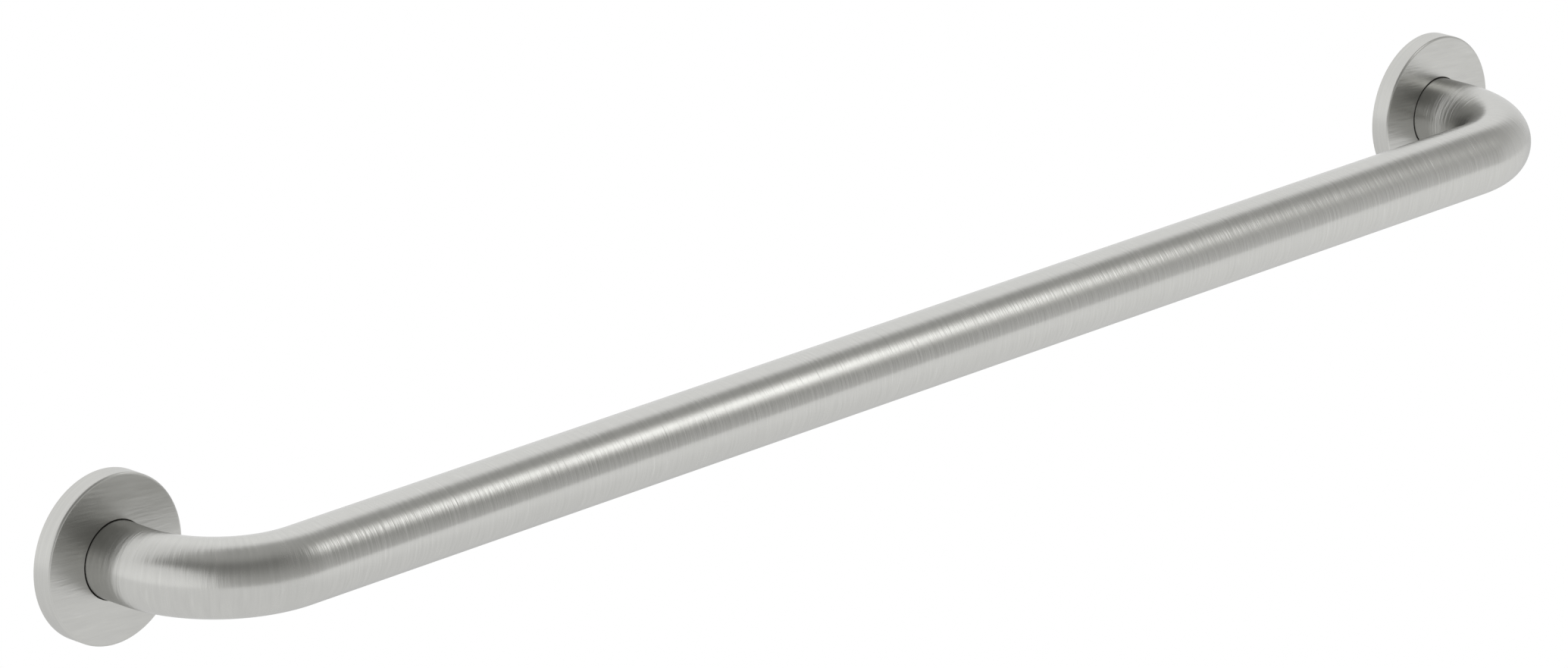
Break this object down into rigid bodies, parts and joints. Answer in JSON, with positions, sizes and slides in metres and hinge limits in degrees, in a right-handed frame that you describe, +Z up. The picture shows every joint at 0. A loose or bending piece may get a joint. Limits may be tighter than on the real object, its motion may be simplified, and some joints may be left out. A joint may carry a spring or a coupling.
{
  "type": "grab bar",
  "caption": "Straight wall grab bar: a brushed steel tube bent back to the wall at both ends, on welded screw plates that round slip-on covers hide.",
  "frame": {"origin": "on the wall plane, half way between the two fixing points, at the centre of the inner screw holes", "axes": "+X along the bar, +Y into the wall, +Z up; the bar stands out towards -Y"},
  "size_m": [0.87, 0.082, 0.07],
  "materials": {
    "brushed_tube": "stainless steel, satin brushed round the tube",
    "brushed_cover": "stainless steel, straight brushed on the face and fine turned on the skirt",
    "screw_plate": "stainless steel plate, matt mill finish",
    "weld_bead": "stainless weld bead, rippled, with a light heat tint"
  },
  "bodies": {
    "bar": {"bar_tube": "brushed_tube", "left_flange": "screw_plate", "right_flange": "screw_plate", "left_weld": "weld_bead", "right_weld": "weld_bead"},
    "left_cover": {"left_cover": "brushed_cover"},
    "right_cover": {"right_cover": "brushed_cover"}
  },
  "joints": [
    {"name": "left_cover_slide", "type": "slide", "parent": "bar", "child": "left_cover", "axis": [0, -1, 0], "range_m": [0, 0.013]},
    {"name": "right_cover_slide", "type": "slide", "parent": "bar", "child": "right_cover", "axis": [0, -1, 0], "range_m": [0, 0.013]}
  ]
}
